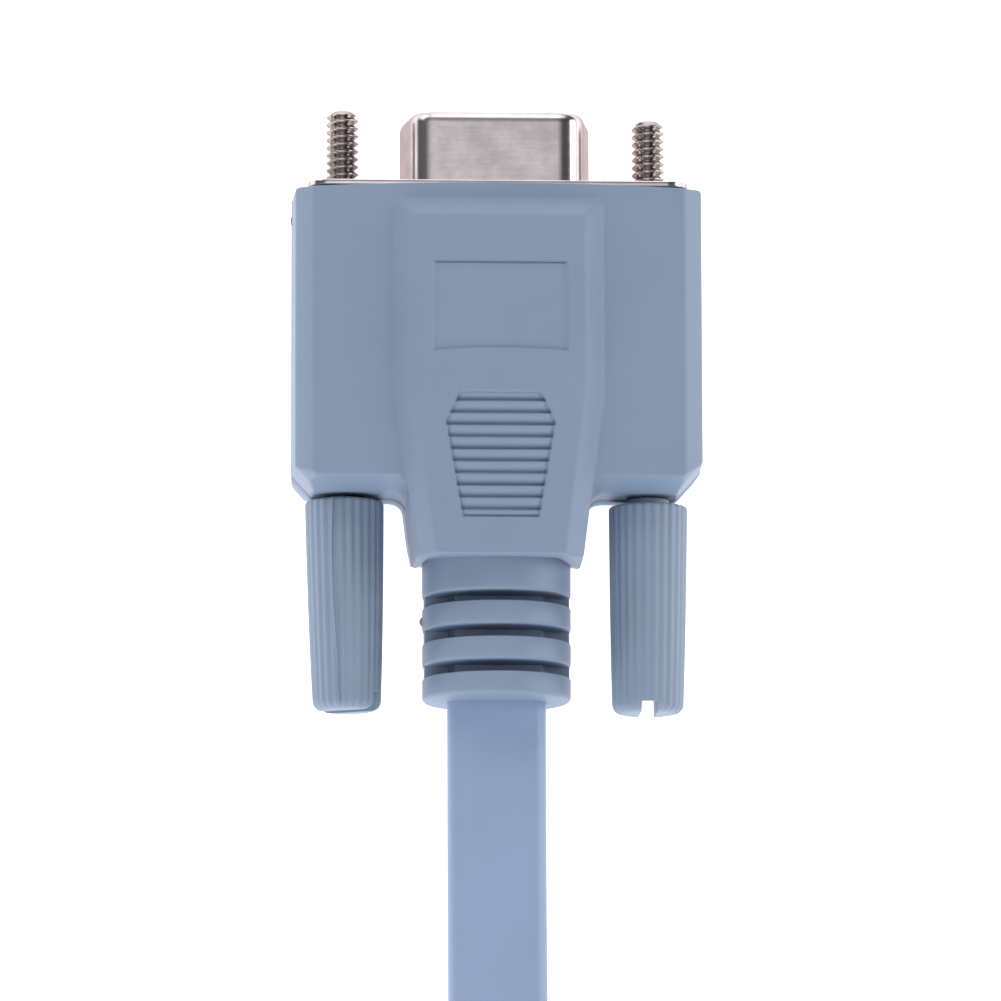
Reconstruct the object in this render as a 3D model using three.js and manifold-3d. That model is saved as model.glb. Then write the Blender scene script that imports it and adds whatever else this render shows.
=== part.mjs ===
import * as THREE from "three";
import { mergeVertices } from "three/addons/utils/BufferGeometryUtils.js";
import Module from "manifold-3d";

// Network console cable: a nine-way D connector with a moulded hood and two thumbscrews, a flat
// eight-conductor cable gathered in a tied hank, and an eight-way modular plug at its far end.
// Millimetres, +Z up. The connector lies flat on the raised centre of its hood, its collar faces +Y
// and the cable leaves towards -Y. Connector sizes below are measured from the front face of the
// flange (y = 0) and from the middle plane of the hood (z = 0).

// Collar and flange
const collarWidth = 16.33;
const collarHeight = 7.9;
const collarSideAngle = THREE.MathUtils.degToRad(10);
const collarCornerRadius = 2.6;
const collarProjection = 6.12;
const sheetThickness = 0.45;
const flangeWidth = 30.81;
const flangeHeight = 12.55;
const flangeCornerRadius = 1.8;
const crimpTabHeight = 5;
const crimpTabDepth = 1.1;
const screwSpacing = 24.99;
const flangeHoleDiameter = 3.1;

// Insulator block and its contacts
const blockRecess = 0.4;
const blockDepthInHood = 4;
const blockClearance = 0.2;
const contactPitch = 2.77;
const contactRowGap = 2.84;
const wideRowCount = 5;
const narrowRowCount = 4;
const contactOuterDiameter = 1.3;
const contactBoreDiameter = 0.98;
const contactBoreDepth = 5;
const contactLength = 7.6;
const contactRecess = 0.45;
const contactClearance = 0.15;

// Hood: wings
const hoodWidth = 33.2;
const wingThickness = 13.4;
const wingRearY = -25;
const wingEdgeBevel = 1.45;
const wingCornerCut = 2.2;
const hoodFrontSetback = 0.6;
const hoodFrontBow = 0.5;
const draftAngle = THREE.MathUtils.degToRad(2);
const neckFilletRadius = 1.7;

// Hood: raised centre and neck
const raisedThickness = 16.2;
const raisedHalfWidth = 8.4;
const raisedFrontY = -1.65;
const raisedTaperY = -17.5;
const raisedBevelWidth = 1.55;
const raisedBevelHeight = 1.4;
const neckRearY = -30.9;
const neckHalfWidth = 6.7;

// Hood: recessed panel and ribbed finger pads
const panelWidth = 10.8;
const panelFrontY = -6.95;
const panelRearY = -14.3;
const panelDepth = 0.3;
const padFrontY = -17.55;
const padWidestY = -20.07;
const padRearY = -27.87;
const padFrontHalfWidth = 3.25;
const padWidestHalfWidth = 4.45;
const padRearHalfWidth = 3.1;
const padSkinDepth = 0.1;
const padGrooveCount = 10;
const padGroovePitch = 0.984;
const padGrooveWidth = 0.5;
const padGrooveDepth = 0.4;
const padFirstGrooveY = -18.39;

// Hood: slotted strain relief
const reliefWidth = 12.05;
const reliefThickness = 12.4;
const reliefSectionRadius = 5.9;
const reliefRearY = -41.7;
const reliefEndRadius = 0.6;
const reliefCoreWidth = 7.6;
const reliefCoreThickness = 7;
const reliefWebWidth = 11.6;
const reliefWebThickness = 1.8;
const reliefGrooveCount = 3;
const reliefGroovePitch = 2.85;
const reliefGrooveWidth = 0.95;
const reliefFirstGrooveY = -33.85;

// Thumbscrews: unified 4-40 thread
const threadMajorDiameter = 2.845;
const threadPitch = 0.635;
const threadDepth = 0.39;
const threadInsideLength = 2;
const tipChamfer = 0.35;
const shankDiameter = 2.2;
const screwHeadDiameter = 3;
const screwHeadLength = 11;
const screwRunningClearance = 0.3;
const tipLeftY = 6.7;
const tipRightY = 6.05;

// Thumb grips
const gripDiameter = 6.44;
const gripRearScale = 0.89;
const gripFrontGap = 0.35;
const gripLength = 17.6;
const gripFlutes = 26;
const gripFluteDepth = 0.3;
const gripEdgeRadius = 0.5;
const gripSlotWidth = 1.15;
const gripSlotDepth = 1.6;
const gripBoreClearance = 0.15;

// Flat cable, its hank and the tie, placed from the connector's middle on the floor
const cableWidth = 8;
const cableThickness = 2.6;
const cableCornerCut = 0.75;
const seatGap = 0.3;
const crossingHeight = 9.6;
const hankNearY = -54.5;
const hankEndRadius = 23.4;
const hankStraight = 128;
const hankWaistHalfWidth = 15.4;
const hankHeight = 11;
const hankWaistFloor = 1.1;
const hankWaistTop = 9.1;
const tieWidth = 8;
const tieThickness = 0.8;
const tieClearance = 0.3;

// Modular plug on its side beside the hank
const plugWidth = 11.68;
const plugLength = 21.46;
const plugHeight = 6.6;
const plugNoseY = -57;
const plugCentreX = 28;
const plugContactCount = 8;
const plugContactPitch = 1.02;
const plugContactThickness = 0.3;
const plugContactLength = 4.6;
const plugContactHeight = 2.1;
const plugContactRecess = 0.45;
const plugSlotWidth = 0.68;
const plugSlotLength = 5.6;
const plugSlotDepth = 3.2;
const plugContactSetback = 0.5;
const latchThickness = 1;
const latchRootWidth = 6;
const latchTabWidth = 3.3;
const latchRootLength = 7.5;
const latchLength = 14;
const latchDrop = 2.6;

const wasm = await Module();
wasm.setup();

// Position-only copy of a geometry with shared vertices merged, as a solid.
function solid(geometry) {
  const bare = geometry.index ? geometry.toNonIndexed() : geometry.clone();
  bare.deleteAttribute("normal");
  bare.deleteAttribute("uv");
  const merged = mergeVertices(bare, 1e-4);
  return new wasm.Manifold(
    new wasm.Mesh({
      numProp: 3,
      vertProperties: new Float32Array(merged.attributes.position.array),
      triVerts: new Uint32Array(merged.index.array),
    }),
  );
}

// Flat-shaded geometry of a solid.
function geometryOf(made) {
  const mesh = made.getMesh();
  const indexed = new THREE.BufferGeometry();
  indexed.setAttribute("position", new THREE.BufferAttribute(mesh.vertProperties, 3));
  indexed.setIndex(new THREE.BufferAttribute(mesh.triVerts, 1));
  const flat = indexed.toNonIndexed();
  flat.computeVertexNormals();
  return flat;
}

function named(name, geometry, color, roughness, metalness) {
  const material = new THREE.MeshStandardMaterial({ color, roughness, metalness });
  const mesh = new THREE.Mesh(geometry, material);
  mesh.name = name;
  return mesh;
}

// Closed shape through corner points, each corner rounded by its radius.
function roundedShape(corners, radii, Kind = THREE.Shape) {
  const shape = new Kind();
  const count = corners.length;
  corners.forEach((corner, i) => {
    const here = new THREE.Vector2(...corner);
    const before = new THREE.Vector2(...corners[(i + count - 1) % count]).sub(here);
    const after = new THREE.Vector2(...corners[(i + 1) % count]).sub(here);
    const radius = Array.isArray(radii) ? radii[i] : radii;
    const half = before.angleTo(after) / 2;
    const reach = radius / Math.tan(half);
    const start = here.clone().add(before.normalize().multiplyScalar(reach));
    const end = here.clone().add(after.normalize().multiplyScalar(reach));
    if (i === 0) {
      shape.moveTo(start.x, start.y);
    } else {
      shape.lineTo(start.x, start.y);
    }
    if (radius > 0) {
      shape.quadraticCurveTo(here.x, here.y, end.x, end.y);
    }
  });
  shape.closePath();
  return shape;
}

function rectangle(halfX, lowY, highY) {
  return [
    [-halfX, lowY],
    [halfX, lowY],
    [halfX, highY],
    [-halfX, highY],
  ];
}

// Prism of a shape drawn in X and Y, between two heights.
function prismZ(shape, lowZ, highZ, curveSegments = 4) {
  const geometry = new THREE.ExtrudeGeometry(shape, {
    depth: highZ - lowZ,
    bevelEnabled: false,
    curveSegments,
  });
  return geometry.translate(0, 0, lowZ);
}

// Prism of a shape drawn in X and Z, between two values of Y.
function prismY(shape, lowY, highY, curveSegments = 4) {
  return prismZ(shape, 0, highY - lowY, curveSegments)
    .rotateX(Math.PI / 2)
    .translate(0, highY, 0);
}

// Prism of a shape drawn in Y and Z, centred on X.
function prismX(shape, width, curveSegments = 4) {
  return prismZ(shape, -width / 2, width / 2, curveSegments)
    .rotateY(Math.PI / 2)
    .rotateX(Math.PI / 2);
}

function box(lowX, highX, lowY, highY, lowZ, highZ) {
  return new THREE.BoxGeometry(highX - lowX, highY - lowY, highZ - lowZ).translate(
    (lowX + highX) / 2,
    (lowY + highY) / 2,
    (lowZ + highZ) / 2,
  );
}

// Turned piece whose axis is Y, from a profile of [radius, y].
function turned(profile, segments) {
  const points = profile.map(([radius, y]) => new THREE.Vector2(radius, y));
  return new THREE.LatheGeometry(points, segments);
}

const cylinderY = (radius, lowY, highY, segments = 16) =>
  turned(
    [
      [0, lowY],
      [radius, lowY],
      [radius, highY],
      [0, highY],
    ],
    segments,
  );

// D outline of the collar, moved inwards by an inset; the narrow side is up.
function collarOutline(inset, Kind = THREE.Shape) {
  const tan = Math.tan(collarSideAngle);
  const across = inset / Math.cos(collarSideAngle);
  const low = -collarHeight / 2 + inset;
  const high = collarHeight / 2 - inset;
  const wide = collarWidth / 2 - inset * tan - across;
  const narrow = collarWidth / 2 - (collarHeight - inset) * tan - across;
  const corners = [
    [-wide, low],
    [wide, low],
    [narrow, high],
    [-narrow, high],
  ];
  return roundedShape(corners, Math.max(collarCornerRadius - inset, 0.5), Kind);
}

const screwX = screwSpacing / 2;
const overcut = 1;

// Collar drawn from its flange, in one piece of sheet.
const flangePlate = roundedShape(
  rectangle(flangeWidth / 2, -flangeHeight / 2, flangeHeight / 2),
  flangeCornerRadius,
);
let shellSolid = solid(prismY(flangePlate, -sheetThickness, 0)).add(
  solid(prismY(collarOutline(0), -sheetThickness / 2, collarProjection)),
);
const blockInset = sheetThickness + blockClearance;
shellSolid = shellSolid.subtract(
  solid(prismY(collarOutline(sheetThickness), -sheetThickness - overcut, collarProjection + overcut)),
);
for (const side of [-1, 1]) {
  const hole = cylinderY(flangeHoleDiameter / 2, -sheetThickness - overcut, overcut);
  shellSolid = shellSolid.subtract(solid(hole.translate(side * screwX, 0, 0)));
  const outer = (side * flangeWidth) / 2;
  const inner = side * (flangeWidth / 2 - sheetThickness);
  const tab = box(
    Math.min(outer, inner),
    Math.max(outer, inner),
    -crimpTabDepth,
    -sheetThickness / 2,
    -crimpTabHeight / 2,
    crimpTabHeight / 2,
  );
  shellSolid = shellSolid.add(solid(tab));
}

// Insulator block with a stepped hole for each contact.
const contactPlaces = [];
for (const [count, z] of [
  [wideRowCount, -contactRowGap / 2],
  [narrowRowCount, contactRowGap / 2],
]) {
  for (let i = 0; i < count; i += 1) {
    contactPlaces.push([(i - (count - 1) / 2) * contactPitch, z]);
  }
}
const blockFrontY = collarProjection - blockRecess;
let blockSolid = solid(prismY(collarOutline(blockInset), -blockDepthInHood, blockFrontY));
const contactFrontY = blockFrontY - contactRecess;
const contactRearY = contactFrontY - contactLength;
for (const [x, z] of contactPlaces) {
  const hole = cylinderY(
    contactOuterDiameter / 2 + contactClearance,
    contactRearY - seatGap,
    blockFrontY + overcut,
    12,
  );
  blockSolid = blockSolid.subtract(solid(hole.translate(x, 0, z)));
}
const contactGeometry = turned(
  [
    [0, contactRearY],
    [contactOuterDiameter / 2, contactRearY],
    [contactOuterDiameter / 2, contactFrontY],
    [contactBoreDiameter / 2, contactFrontY],
    [contactBoreDiameter / 2, contactFrontY - contactBoreDepth],
    [0, contactFrontY - contactBoreDepth],
  ],
  12,
);

// Hood wings: the plan outline with bevelled long edges, narrowing away from the parting plane.
const wingOutline = new THREE.Shape();
const wingHalf = hoodWidth / 2;
const wingFrontY = overcut * 4;
const filletX = neckHalfWidth + (raisedHalfWidth - neckHalfWidth) / 2;
wingOutline.moveTo(-wingHalf, wingFrontY);
wingOutline.lineTo(-wingHalf, wingRearY + wingCornerCut);
wingOutline.lineTo(-wingHalf + wingCornerCut, wingRearY);
wingOutline.lineTo(-filletX - neckFilletRadius, wingRearY);
wingOutline.quadraticCurveTo(-filletX, wingRearY, -filletX, wingRearY - neckFilletRadius);
wingOutline.lineTo(filletX, wingRearY - neckFilletRadius);
wingOutline.quadraticCurveTo(filletX, wingRearY, filletX + neckFilletRadius, wingRearY);
wingOutline.lineTo(wingHalf - wingCornerCut, wingRearY);
wingOutline.lineTo(wingHalf, wingRearY + wingCornerCut);
wingOutline.lineTo(wingHalf, wingFrontY);
wingOutline.closePath();
const wingCore = wingThickness - 2 * wingEdgeBevel;
const wingGeometry = new THREE.ExtrudeGeometry(wingOutline, {
  depth: wingCore,
  steps: 2,
  curveSegments: 5,
  bevelEnabled: true,
  bevelThickness: wingEdgeBevel,
  bevelSize: wingEdgeBevel,
  bevelOffset: -wingEdgeBevel,
  bevelSegments: 1,
}).translate(0, 0, -wingCore / 2);
const wingPoints = wingGeometry.attributes.position;
const draftShare = Math.tan(draftAngle) / wingHalf;
for (let i = 0; i < wingPoints.count; i += 1) {
  const shrink = 1 - draftShare * Math.abs(wingPoints.getZ(i));
  wingPoints.setX(i, wingPoints.getX(i) * shrink);
  wingPoints.setY(i, wingPoints.getY(i) * shrink);
}

// Raised centre: parallel at the front, then tapering to the neck, with a bevel along its edges.
const taperSlope = (raisedHalfWidth - neckHalfWidth) / (raisedTaperY - neckRearY);
const beyondNeckY = neckRearY - raisedBevelWidth * 2;
const beyondNeckHalf = neckHalfWidth - taperSlope * raisedBevelWidth * 2;
const raisedOutline = new THREE.Shape(
  [
    [-raisedHalfWidth, raisedFrontY],
    [-raisedHalfWidth, raisedTaperY],
    [-beyondNeckHalf, beyondNeckY],
    [beyondNeckHalf, beyondNeckY],
    [raisedHalfWidth, raisedTaperY],
    [raisedHalfWidth, raisedFrontY],
  ].map(([x, y]) => new THREE.Vector2(x, y)),
);
const raisedCore = raisedThickness - 2 * raisedBevelHeight;
const raisedGeometry = new THREE.ExtrudeGeometry(raisedOutline, {
  depth: raisedCore,
  bevelEnabled: true,
  bevelThickness: raisedBevelHeight,
  bevelSize: raisedBevelWidth,
  bevelOffset: -raisedBevelWidth,
  bevelSegments: 1,
}).translate(0, 0, -raisedCore / 2);
const neckCut = box(
  -raisedHalfWidth,
  raisedHalfWidth,
  beyondNeckY - overcut,
  neckRearY,
  -raisedThickness,
  raisedThickness,
);

// Strain relief: round rings on a slimmer core, with a thin web at each side between them.
const reliefSection = roundedShape(
  rectangle(reliefWidth / 2, -reliefThickness / 2, reliefThickness / 2),
  reliefSectionRadius,
);
const coreSection = roundedShape(
  rectangle(reliefCoreWidth / 2, -reliefCoreThickness / 2, reliefCoreThickness / 2),
  reliefCoreThickness / 3,
);
const webSection = roundedShape(
  rectangle(reliefWebWidth / 2, -reliefWebThickness / 2, reliefWebThickness / 2),
  reliefWebThickness / 3,
);
const reliefPlan = roundedShape(
  [
    [-reliefWidth, neckRearY + overcut * 2],
    [-reliefWidth / 2, neckRearY + overcut * 2],
    [-reliefWidth / 2, reliefRearY],
    [reliefWidth / 2, reliefRearY],
    [reliefWidth / 2, neckRearY + overcut * 2],
    [reliefWidth, neckRearY + overcut * 2],
    [reliefWidth, neckRearY + overcut * 3],
    [-reliefWidth, neckRearY + overcut * 3],
  ],
  [0, 0, reliefEndRadius, reliefEndRadius, 0, 0, 0, 0],
);
let reliefSolid = solid(prismY(reliefSection, reliefRearY, neckRearY + overcut, 6)).intersect(
  solid(prismZ(reliefPlan, -reliefThickness, reliefThickness)),
);
for (let i = 0; i < reliefGrooveCount; i += 1) {
  const y = reliefFirstGrooveY - i * reliefGroovePitch;
  reliefSolid = reliefSolid.subtract(
    solid(
      box(
        -reliefWidth,
        reliefWidth,
        y - reliefGrooveWidth / 2,
        y + reliefGrooveWidth / 2,
        -reliefThickness,
        reliefThickness,
      ),
    ),
  );
}
for (const section of [coreSection, webSection]) {
  reliefSolid = reliefSolid.add(
    solid(prismY(section, reliefRearY + reliefEndRadius * 2, neckRearY + overcut)),
  );
}

// Front of the hood: a gentle bow in plan, with pockets for the flange, its tabs and the block.
const bowCut = new THREE.Shape();
bowCut.moveTo(-hoodWidth, wingFrontY + overcut);
bowCut.lineTo(-hoodWidth, -hoodFrontSetback);
bowCut.lineTo(-wingHalf, -hoodFrontSetback);
bowCut.quadraticCurveTo(0, -hoodFrontSetback + 2 * hoodFrontBow, wingHalf, -hoodFrontSetback);
bowCut.lineTo(hoodWidth, -hoodFrontSetback);
bowCut.lineTo(hoodWidth, wingFrontY + overcut);
bowCut.closePath();
const flangePocket = roundedShape(
  rectangle(
    flangeWidth / 2 + blockClearance,
    -flangeHeight / 2 - blockClearance,
    flangeHeight / 2 + blockClearance,
  ),
  flangeCornerRadius,
);
const tabPocket = box(
  -flangeWidth / 2 - blockClearance,
  flangeWidth / 2 + blockClearance,
  -crimpTabDepth - seatGap,
  0,
  -crimpTabHeight / 2 - seatGap,
  crimpTabHeight / 2 + seatGap,
);
const tabBridge = box(
  -flangeWidth / 2 + sheetThickness + seatGap,
  flangeWidth / 2 - sheetThickness - seatGap,
  -crimpTabDepth - seatGap - overcut,
  overcut,
  -crimpTabHeight,
  crimpTabHeight,
);

// Finger pads: a hexagonal skin cut, crossed by narrow grooves, above and below.
const padShape = new THREE.Shape(
  [
    [-padFrontHalfWidth, padFrontY],
    [-padWidestHalfWidth, padWidestY],
    [-padRearHalfWidth, padRearY],
    [padRearHalfWidth, padRearY],
    [padWidestHalfWidth, padWidestY],
    [padFrontHalfWidth, padFrontY],
  ].map(([x, y]) => new THREE.Vector2(x, y)),
);
const faceZ = raisedThickness / 2;

let hoodSolid = solid(wingGeometry)
  .add(solid(raisedGeometry).subtract(solid(neckCut)))
  .add(reliefSolid)
  .subtract(solid(prismZ(bowCut, -raisedThickness, raisedThickness, 10)))
  .subtract(solid(prismY(flangePocket, -sheetThickness - blockClearance / 2, overcut)))
  .subtract(solid(tabPocket).subtract(solid(tabBridge)))
  .subtract(
    solid(prismY(collarOutline(blockInset - seatGap), -blockDepthInHood - seatGap, overcut)),
  );
for (const side of [-1, 1]) {
  const bore = cylinderY(
    threadMajorDiameter / 2 + screwRunningClearance,
    wingRearY - overcut,
    overcut,
    20,
  );
  hoodSolid = hoodSolid.subtract(solid(bore.translate(side * screwX, 0, 0)));
  const skin = prismZ(padShape, faceZ - padSkinDepth, faceZ + overcut);
  const deep = solid(prismZ(padShape, faceZ - padGrooveDepth, faceZ + overcut));
  let padCut = solid(skin);
  for (let i = 0; i < padGrooveCount; i += 1) {
    const y = padFirstGrooveY - i * padGroovePitch;
    const groove = box(
      -raisedHalfWidth,
      raisedHalfWidth,
      y - padGrooveWidth / 2,
      y + padGrooveWidth / 2,
      0,
      raisedThickness,
    );
    padCut = padCut.add(deep.intersect(solid(groove)));
  }
  if (side < 0) {
    padCut = padCut.rotate([0, 180, 0]);
  }
  hoodSolid = hoodSolid.subtract(padCut);
}
hoodSolid = hoodSolid.subtract(
  solid(
    box(
      -panelWidth / 2,
      panelWidth / 2,
      panelRearY,
      panelFrontY,
      faceZ - panelDepth,
      faceZ + overcut,
    ),
  ),
);

// Jackscrew: threaded tip, plain shank through the hood, head inside the grip.
const gripFrontY = wingRearY - gripFrontGap;
const gripRearY = gripFrontY - gripLength;
const screwRearY = gripFrontY - screwHeadLength;
function screwGeometry(tipY) {
  const crest = threadMajorDiameter / 2;
  const root = crest - threadDepth;
  const profile = [
    [0, screwRearY],
    [screwHeadDiameter / 2, screwRearY],
    [screwHeadDiameter / 2, gripFrontY],
    [shankDiameter / 2, gripFrontY],
    [shankDiameter / 2, -threadInsideLength - threadPitch],
  ];
  const turns = Math.floor((tipY - tipChamfer + threadInsideLength) / threadPitch);
  const firstY = tipY - tipChamfer - turns * threadPitch;
  for (let i = 0; i < turns; i += 1) {
    profile.push([root, firstY + i * threadPitch]);
    profile.push([crest, firstY + (i + 0.5) * threadPitch]);
  }
  profile.push([root, tipY - tipChamfer]);
  profile.push([root - tipChamfer, tipY]);
  profile.push([0, tipY]);
  return turned(profile, 16);
}

// Thumb grip: fluted, slightly tapered, with a blind bore and a driver slot across its rear face.
function gripGeometry() {
  const shape = new THREE.Shape();
  const steps = gripFlutes * 2;
  const body = gripDiameter / 2 - gripEdgeRadius;
  for (let i = 0; i < steps; i += 1) {
    const angle = (i / steps) * Math.PI * 2;
    const radius = body - (i % 2 ? gripFluteDepth : 0);
    const x = radius * Math.cos(angle);
    const z = radius * Math.sin(angle);
    if (i === 0) {
      shape.moveTo(x, z);
    } else {
      shape.lineTo(x, z);
    }
  }
  shape.closePath();
  const geometry = new THREE.ExtrudeGeometry(shape, {
    depth: gripLength - 2 * gripEdgeRadius,
    bevelEnabled: true,
    bevelThickness: gripEdgeRadius,
    bevelSize: gripEdgeRadius,
    bevelSegments: 2,
  })
    .rotateX(Math.PI / 2)
    .translate(0, gripFrontY - gripEdgeRadius, 0);
  const points = geometry.attributes.position;
  let widest = 0;
  for (let i = 0; i < points.count; i += 1) {
    widest = Math.max(widest, Math.hypot(points.getX(i), points.getZ(i)));
  }
  for (let i = 0; i < points.count; i += 1) {
    const share = (gripFrontY - points.getY(i)) / gripLength;
    const scale = ((1 - (1 - gripRearScale) * share) * gripDiameter) / 2 / widest;
    points.setX(i, points.getX(i) * scale);
    points.setZ(i, points.getZ(i) * scale);
  }
  const bore = cylinderY(
    screwHeadDiameter / 2 + gripBoreClearance,
    screwRearY - seatGap,
    gripFrontY + overcut,
    16,
  );
  const slot = box(
    -gripSlotWidth / 2,
    gripSlotWidth / 2,
    gripRearY - overcut,
    gripRearY + gripSlotDepth,
    -gripDiameter,
    gripDiameter,
  );
  return geometryOf(solid(geometry).subtract(solid(bore)).subtract(solid(slot)));
}

const metal = [0xbcb6b8, 0.32, 1];
const plastic = [0x8697b0, 0.5, 0];
const cableLook = [0x92a3c4, 0.45, 0];
const gold = [0xc9a550, 0.3, 1];

const connector = new THREE.Group();
connector.add(named("hood", geometryOf(hoodSolid), ...plastic));
connector.add(named("front_shell", geometryOf(shellSolid), ...metal));
connector.add(named("insulator", geometryOf(blockSolid), 0x22252b, 0.5, 0));
contactPlaces.forEach(([x, z], i) => {
  const contact = named(`contact_${i + 1}`, contactGeometry.clone(), ...gold);
  contact.position.set(x, 0, z);
  connector.add(contact);
});
for (const [side, word, tipY] of [
  [-1, "left", tipLeftY],
  [1, "right", tipRightY],
]) {
  const thumbscrew = new THREE.Group();
  thumbscrew.position.x = side * screwX;
  thumbscrew.add(named(`screw_${word}`, screwGeometry(tipY), ...metal));
  thumbscrew.add(named(`grip_${word}`, gripGeometry(), ...plastic));
  connector.add(thumbscrew);
}
const connectorShiftY = -(Math.max(tipLeftY, tipRightY) + Math.min(gripRearY, reliefRearY)) / 2;
const connectorHeight = raisedThickness / 2;
connector.position.set(0, connectorShiftY, connectorHeight);

// Flat cable where it runs free.
const cableSection = new THREE.Shape(
  [
    [-cableWidth / 2, -cableThickness / 2 + cableCornerCut],
    [-cableWidth / 2 + cableCornerCut, -cableThickness / 2],
    [cableWidth / 2 - cableCornerCut, -cableThickness / 2],
    [cableWidth / 2, -cableThickness / 2 + cableCornerCut],
    [cableWidth / 2, cableThickness / 2 - cableCornerCut],
    [cableWidth / 2 - cableCornerCut, cableThickness / 2],
    [-cableWidth / 2 + cableCornerCut, cableThickness / 2],
    [-cableWidth / 2, cableThickness / 2 - cableCornerCut],
  ].map(([x, y]) => new THREE.Vector2(x, y)),
);
function cableAlong(points, steps) {
  const path = new THREE.CatmullRomCurve3(points.map((point) => new THREE.Vector3(...point)));
  return new THREE.ExtrudeGeometry(cableSection, { steps, extrudePath: path });
}
const exitY = reliefRearY + connectorShiftY;
const runPoints = [
  [0, exitY - seatGap, connectorHeight],
  [0, exitY - 9, connectorHeight + 0.15],
  [0, exitY - 19, connectorHeight + 0.85],
  [0, hankNearY + seatGap, crossingHeight],
];
const tailEndY = plugNoseY - plugLength - seatGap;
const tailPoints = [
  [23.75, -97, cableWidth / 2 + 0.2],
  [24.45, -93, cableWidth / 2 + 0.2],
  [plugCentreX - 1, -86.5, plugWidth / 2 - 0.4],
  [plugCentreX, tailEndY - 3, plugWidth / 2],
  [plugCentreX, tailEndY, plugWidth / 2],
];

// Hank: flat outline with round ends and a pinched waist, grooved above and below for the tie.
const nearCentreY = hankNearY - hankEndRadius;
const farCentreY = nearCentreY - hankStraight;
const waistY = (nearCentreY + farCentreY) / 2;
const sway = hankStraight / 4;
const hankOutline = new THREE.Shape();
hankOutline.moveTo(hankEndRadius, nearCentreY);
hankOutline.absarc(0, nearCentreY, hankEndRadius, 0, Math.PI, false);
hankOutline.bezierCurveTo(
  -hankEndRadius,
  nearCentreY - sway,
  -hankWaistHalfWidth,
  waistY + sway,
  -hankWaistHalfWidth,
  waistY,
);
hankOutline.bezierCurveTo(
  -hankWaistHalfWidth,
  waistY - sway,
  -hankEndRadius,
  farCentreY + sway,
  -hankEndRadius,
  farCentreY,
);
hankOutline.absarc(0, farCentreY, hankEndRadius, Math.PI, Math.PI * 2, false);
hankOutline.bezierCurveTo(
  hankEndRadius,
  farCentreY + sway,
  hankWaistHalfWidth,
  waistY - sway,
  hankWaistHalfWidth,
  waistY,
);
hankOutline.bezierCurveTo(
  hankWaistHalfWidth,
  waistY + sway,
  hankEndRadius,
  nearCentreY - sway,
  hankEndRadius,
  nearCentreY,
);
const grooveHalf = tieWidth / 2 + tieClearance;
const hankSolid = solid(prismZ(hankOutline, 0, hankHeight, 12))
  .subtract(
    solid(
      box(-hankEndRadius, hankEndRadius, waistY - grooveHalf, waistY + grooveHalf, -1, hankWaistFloor),
    ),
  )
  .subtract(
    solid(
      box(
        -hankEndRadius,
        hankEndRadius,
        waistY - grooveHalf,
        waistY + grooveHalf,
        hankWaistTop,
        hankHeight + overcut,
      ),
    ),
  );
const tieInnerHalf = hankWaistHalfWidth + tieClearance;
const tieInnerLow = hankWaistFloor - tieClearance;
const tieInnerHigh = hankWaistTop + tieClearance;
const tieShape = roundedShape(
  rectangle(tieInnerHalf + tieThickness, tieInnerLow - tieThickness, tieInnerHigh + tieThickness),
  1.2,
);
tieShape.holes.push(roundedShape(rectangle(tieInnerHalf, tieInnerLow, tieInnerHigh), 0.4, THREE.Path));
const tieGeometry = prismY(tieShape, waistY - tieWidth / 2, waistY + tieWidth / 2);

// Modular plug in its own frame: nose at y = 0, contacts up, latch arm below.
const plugHalf = plugHeight / 2;
const contactTopZ = plugHalf - plugContactRecess;
let plugSolid = solid(
  box(-plugWidth / 2, plugWidth / 2, -plugLength, 0, -plugHalf, plugHalf),
);
const latchProfile = (length) =>
  new THREE.Shape(
    [
      [-0.6, -plugHalf + 0.2],
      [-0.6, -plugHalf - 0.4],
      [-length, -plugHalf - 0.4 - (latchDrop * length) / latchLength - latchThickness],
      [-length, -plugHalf - 0.4 - (latchDrop * length) / latchLength],
      [-2.4, -plugHalf + 0.2],
    ].map(([y, z]) => new THREE.Vector2(y, z)),
  );
plugSolid = plugSolid
  .add(solid(prismX(latchProfile(latchRootLength), latchRootWidth)))
  .add(solid(prismX(latchProfile(latchLength), latchTabWidth)));
const plugContactPlaces = [];
for (let i = 0; i < plugContactCount; i += 1) {
  const x = (i - (plugContactCount - 1) / 2) * plugContactPitch;
  plugContactPlaces.push(x);
  plugSolid = plugSolid.subtract(
    solid(
      box(
        x - plugSlotWidth / 2,
        x + plugSlotWidth / 2,
        -plugSlotLength,
        overcut,
        plugHalf - plugSlotDepth,
        plugHalf + overcut,
      ),
    ),
  );
}
const plugContactGeometry = box(
  -plugContactThickness / 2,
  plugContactThickness / 2,
  -plugContactSetback - plugContactLength,
  -plugContactSetback,
  contactTopZ - plugContactHeight,
  contactTopZ,
);
const plug = new THREE.Group();
plug.add(named("plug_body", geometryOf(plugSolid), 0xdfe6ea, 0.15, 0));
plugContactPlaces.forEach((x, i) => {
  const blade = named(`plug_contact_${i + 1}`, plugContactGeometry.clone(), ...gold);
  blade.position.x = x;
  plug.add(blade);
});
plug.position.set(plugCentreX, plugNoseY, plugWidth / 2);
plug.rotation.y = -Math.PI / 2;

const cable = new THREE.Group();
cable.add(connector);
cable.add(named("cable_run", cableAlong(runPoints, 4), ...cableLook));
cable.add(named("cable_hank", geometryOf(hankSolid), ...cableLook));
cable.add(named("hank_tie", tieGeometry, 0x1c1c1e, 0.7, 0));
cable.add(named("cable_tail", cableAlong(tailPoints, 6), ...cableLook));
cable.add(plug);

export default cable;
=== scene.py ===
import math

import bmesh
import bpy
import numpy as np
from mathutils import Matrix, Vector


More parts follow.
